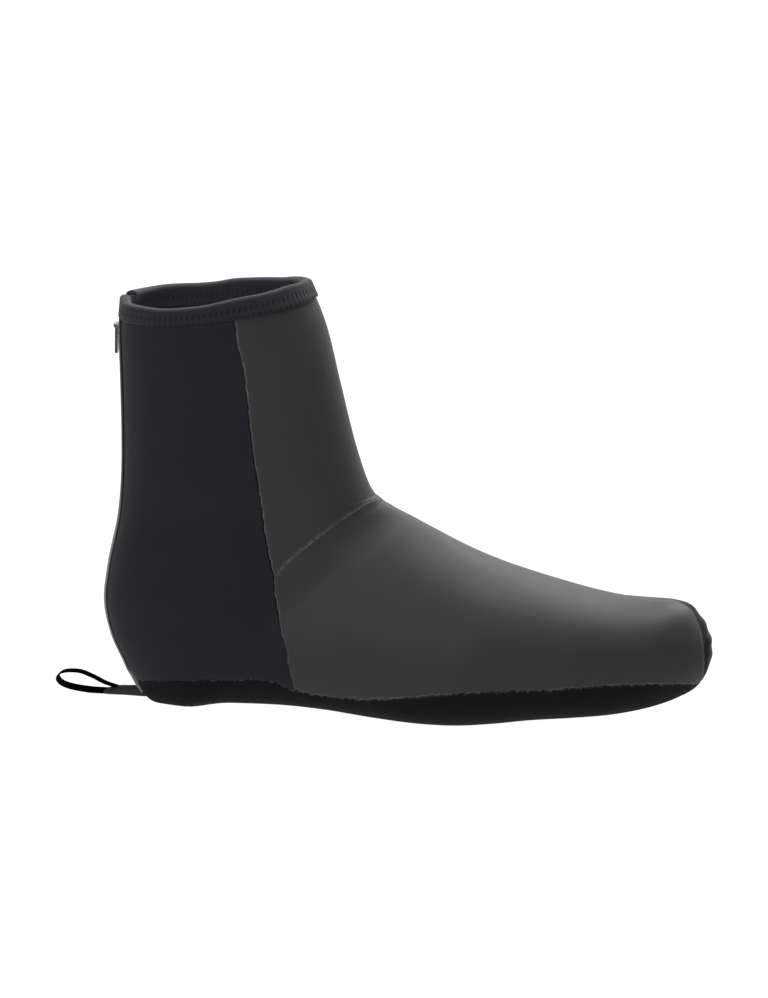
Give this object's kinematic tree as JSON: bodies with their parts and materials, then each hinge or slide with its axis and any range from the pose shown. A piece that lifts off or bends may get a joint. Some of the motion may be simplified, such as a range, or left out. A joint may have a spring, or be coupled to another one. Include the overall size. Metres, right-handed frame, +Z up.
{
  "type": "cycling overshoe",
  "caption": "Ankle-high stretch overshoe with a bound collar, zip up the heel, rounded toe, wrapped sole with cleat and heel openings, and a ribbon pull loop.",
  "frame": {"origin": "on the floor plane under the flat of the heel, on the foot's middle line", "axes": "+X to the toe, +Y to the medial side of this right-foot shoe, +Z up"},
  "size_m": [0.316, 0.1042, 0.2081],
  "materials": {
    "coated_shell": "smooth coated stretch cloth over neoprene, soft satin sheen",
    "sole_cloth": "coarse abrasion-resistant weave, matt",
    "binding_knit": "stretch knit tape, matt",
    "zip_tape": "rubber-coated zip tape, satin",
    "zip_coil": "moulded nylon coil",
    "zip_metal": "plated die-cast metal",
    "ribbon": "woven ribbon, matt black",
    "sleeve_cloth": "folded webbing, matt, slightly frayed"
  },
  "bodies": {
    "shoe": {"upper": "coated_shell", "sole": "sole_cloth", "collar_binding": "binding_knit", "zip_tape_lateral": "zip_tape", "zip_tape_medial": "zip_tape", "zip_coil": "zip_coil", "zip_slider": "zip_metal", "loop_sleeve": "sleeve_cloth", "pull_loop": "ribbon"},
    "pull_tab": {"zip_pull_tab": "zip_metal"}
  },
  "joints": [
    {"name": "pull_tab_hinge", "type": "hinge", "parent": "shoe", "child": "pull_tab", "pos_m": [-0.03724, 0, 0.18018], "axis": [0, 1, 0], "range_deg": [0, 150]}
  ]
}
